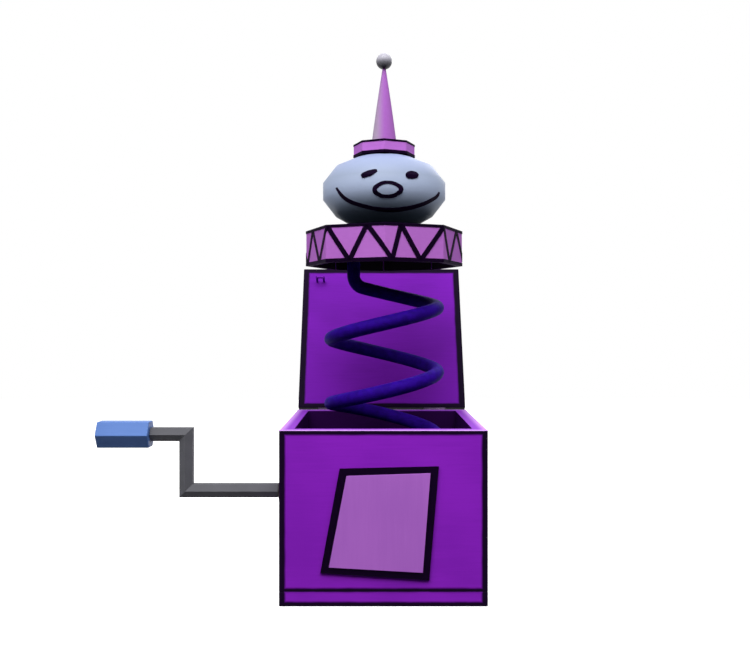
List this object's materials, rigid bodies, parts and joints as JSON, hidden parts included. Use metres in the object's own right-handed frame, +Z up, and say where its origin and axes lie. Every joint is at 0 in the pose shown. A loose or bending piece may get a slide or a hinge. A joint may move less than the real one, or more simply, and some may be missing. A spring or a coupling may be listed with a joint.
{
  "type": "jack in the box",
  "caption": "Wooden jack in the box: square cabinet with side crank and hinged lid, and a round-headed figure with a pointed hat on a tall coil spring",
  "frame": {"origin": "centre of the cabinet's flat underside, in the plane that it stands on", "axes": "+Z up, -Y out of the cabinet's front, crank on the -X side"},
  "size_m": [0.2704, 0.211, 0.3926],
  "materials": {
    "cabinet_paint": "plywood brushed with violet gloss paint",
    "plaque_outline": "thin plywood painted very dark violet",
    "plaque_field": "thin plywood painted mauve",
    "screw_steel": "zinc plated countersunk screws",
    "hinge_steel": "pressed steel, blued",
    "catch_steel": "spring steel, black oxide",
    "crank_steel": "six sided steel bar, black oxide and oiled",
    "grip_lacquer": "turned six sided beech with blue lacquer",
    "movement_brass": "stamped and cut brass",
    "movement_steel": "plated steel plate, posts and comb",
    "coil_vinyl": "spring wire moulded into indigo vinyl",
    "spring_fixings": "pressed steel saddles and socket",
    "collar_paint": "mauve satin paint with dark brushed zigzag",
    "head_lacquer": "turned lime wood, pale blue lacquer, painted face",
    "dowel_wood": "plain beech dowel",
    "hat_felt": "stiffened mauve felt",
    "ball_pearl": "pearl grey moulded ball"
  },
  "bodies": {
    "cabinet": {"base_board": "cabinet_paint", "front_panel": "cabinet_paint", "rear_panel": "cabinet_paint", "left_panel": "cabinet_paint", "right_panel": "cabinet_paint", "plaque_back": "plaque_outline", "plaque_field": "plaque_field", "base_screws": "screw_steel", "hinge_screws_box": "screw_steel", "plate_screws": "screw_steel", "bridge_screws": "screw_steel", "comb_screws": "screw_steel", "left_box_leaf": "hinge_steel", "right_box_leaf": "hinge_steel", "latch_pivot": "catch_steel", "crank_bush": "movement_brass", "bridge_plate": "movement_brass", "mechanism_plate": "movement_steel", "low_post": "movement_steel", "high_post": "movement_steel", "music_comb": "movement_steel", "comb_block": "movement_steel", "spring_coil": "coil_vinyl", "spring_clamps": "spring_fixings"},
    "hinge_pins": {"left_hinge_pin": "hinge_steel", "right_hinge_pin": "hinge_steel"},
    "lid": {"lid_board": "cabinet_paint", "left_lid_leaf": "hinge_steel", "right_lid_leaf": "hinge_steel", "hinge_screws_lid": "screw_steel", "lid_keeper": "catch_steel"},
    "figure": {"collar": "collar_paint", "neck_dowel": "dowel_wood", "head": "head_lacquer", "hat_brim": "collar_paint", "hat_cone": "hat_felt", "spring_socket": "spring_fixings", "socket_screws": "screw_steel"},
    "hat_end": {"hat_ball": "ball_pearl"},
    "crank": {"crank_arm": "crank_steel", "crank_pinion": "movement_brass", "grip_screw": "crank_steel"},
    "grip": {"crank_grip": "grip_lacquer"},
    "drum": {"music_wheel": "movement_brass", "trip_cam": "movement_brass", "music_drum": "movement_brass", "drum_arbor": "movement_steel"},
    "catch": {"latch_lever": "catch_steel"}
  },
  "joints": [
    {"name": "figure_slide", "type": "slide", "parent": "cabinet", "child": "figure", "axis": [0, 0, 1], "range_m": [-0.2205, 0], "stiffness_N_per_m": 30, "springref_m": 0.15, "deforming": ["spring_coil"]},
    {"name": "hinge_turn", "type": "hinge", "parent": "cabinet", "child": "hinge_pins", "pos_m": [0, 0.0718, 0.118], "axis": [-1, 0, 0], "range_deg": [-86, 0]},
    {"name": "lid_swing", "type": "hinge", "parent": "hinge_pins", "child": "lid", "pos_m": [0, 0.0718, 0.118], "axis": [-1, 0, 0], "range_deg": [-30, 0]},
    {"name": "hat_drop", "type": "slide", "parent": "figure", "child": "hat_end", "axis": [0, 0, 1], "range_m": [-0.0556, 0], "stiffness_N_per_m": 20, "springref_m": 0.02, "deforming": ["hat_cone"]},
    {"name": "crank_turn", "type": "hinge", "parent": "cabinet", "child": "crank", "pos_m": [-0.075, -0.044, 0.073], "axis": [1, 0, 0], "continuous": true},
    {"name": "grip_turn", "type": "hinge", "parent": "crank", "child": "grip", "pos_m": [-0.18, -0.044, 0.1122], "axis": [1, 0, 0], "continuous": true},
    {"name": "drum_turn", "type": "hinge", "parent": "cabinet", "child": "drum", "pos_m": [-0.05, -0.044, 0.052], "axis": [1, 0, 0], "continuous": true},
    {"name": "catch_turn", "type": "hinge", "parent": "cabinet", "child": "catch", "pos_m": [-0.0545, -0.037, 0.093], "axis": [1, 0, 0], "range_deg": [0, 8.5], "stiffness_Nm_per_rad": 0.15, "springref_deg": -5.73}
  ],
  "couplings": [
    {"joint": "hinge_turn", "follows": "figure_slide", "rad_per_m": 6.806},
    {"joint": "hat_drop", "follows": "figure_slide", "ratio": 0.2516},
    {"joint": "drum_turn", "follows": "crank_turn", "ratio": -0.4}
  ]
}
